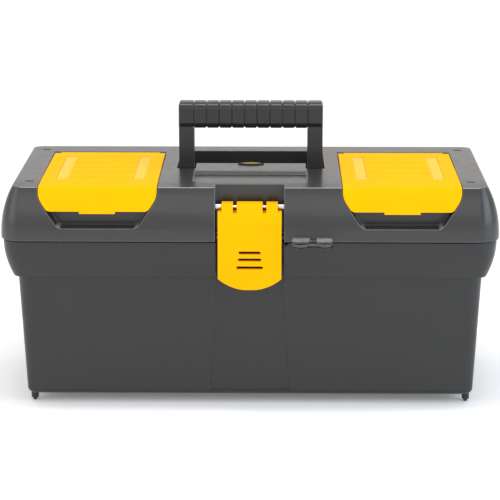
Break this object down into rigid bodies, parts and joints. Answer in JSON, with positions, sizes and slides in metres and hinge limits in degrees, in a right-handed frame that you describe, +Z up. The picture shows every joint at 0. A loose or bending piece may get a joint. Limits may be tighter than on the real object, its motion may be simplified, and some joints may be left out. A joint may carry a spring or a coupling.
{
  "type": "toolbox with tray",
  "caption": "Hinged plastic toolbox with a lift-out tray, lid organizers under flip-up covers, a folding carry handle, a front latch and a padlock eye.",
  "frame": {"origin": "on the table under the middle of the box, between the feet", "axes": "+X along the box to the right as seen from the front, -Y towards the latch, +Z up"},
  "size_m": [0.406, 0.2191, 0.2427],
  "materials": {
    "charcoal_plastic": "moulded, fine satin texture",
    "handle_plastic": "moulded, satin",
    "yellow_plastic": "moulded, semi-gloss",
    "badge_plastic": "printed inlay without lettering",
    "steel": "bright drawn pin"
  },
  "bodies": {
    "tub_body": {"tub": "charcoal_plastic", "hinge_pin_left": "steel", "hinge_pin_right": "steel"},
    "lid_body": {"lid": "charcoal_plastic", "lid_badge": "badge_plastic", "latch_pin": "steel", "handle_pin_left": "steel", "handle_pin_right": "steel", "organizer_divider_left_front": "charcoal_plastic", "organizer_divider_left_rear": "charcoal_plastic", "organizer_divider_right_front": "charcoal_plastic", "organizer_divider_right_rear": "charcoal_plastic", "cover_rod_left": "steel", "cover_rod_right": "steel"},
    "handle_body": {"handle": "handle_plastic"},
    "latch_body": {"latch": "yellow_plastic"},
    "cover_left_body": {"organizer_cover_left": "yellow_plastic"},
    "cover_right_body": {"organizer_cover_right": "yellow_plastic"},
    "tray_body": {"tray": "charcoal_plastic", "tray_divider_left": "yellow_plastic", "tray_divider_right": "yellow_plastic"}
  },
  "joints": [
    {"name": "lid_hinge", "type": "hinge", "parent": "tub_body", "child": "lid_body", "pos_m": [0, 0.1025, 0.143], "axis": [-1, 0, 0], "range_deg": [0, 105]},
    {"name": "latch_hinge", "type": "hinge", "parent": "lid_body", "child": "latch_body", "pos_m": [0, -0.084, 0.17], "axis": [-1, 0, 0], "range_deg": [0, 120]},
    {"name": "handle_fold", "type": "hinge", "parent": "lid_body", "child": "handle_body", "pos_m": [0, -0.003, 0.177], "axis": [-1, 0, 0], "range_deg": [0, 90]},
    {"name": "organizer_cover_left_hinge", "type": "hinge", "parent": "lid_body", "child": "cover_left_body", "pos_m": [-0.1233, 0.0553, 0.184], "axis": [-1, 0, 0], "range_deg": [0, 105]},
    {"name": "organizer_cover_right_hinge", "type": "hinge", "parent": "lid_body", "child": "cover_right_body", "pos_m": [0.1233, 0.0553, 0.184], "axis": [-1, 0, 0], "range_deg": [0, 105]},
    {"name": "tray_lift", "type": "slide", "parent": "tub_body", "child": "tray_body", "axis": [0, 0, 1], "range_m": [0, 0.066]}
  ],
  "couplings": [
    {"joint": "tray_lift", "follows": "lid_hinge", "m_per_rad": 0.0355}
  ]
}
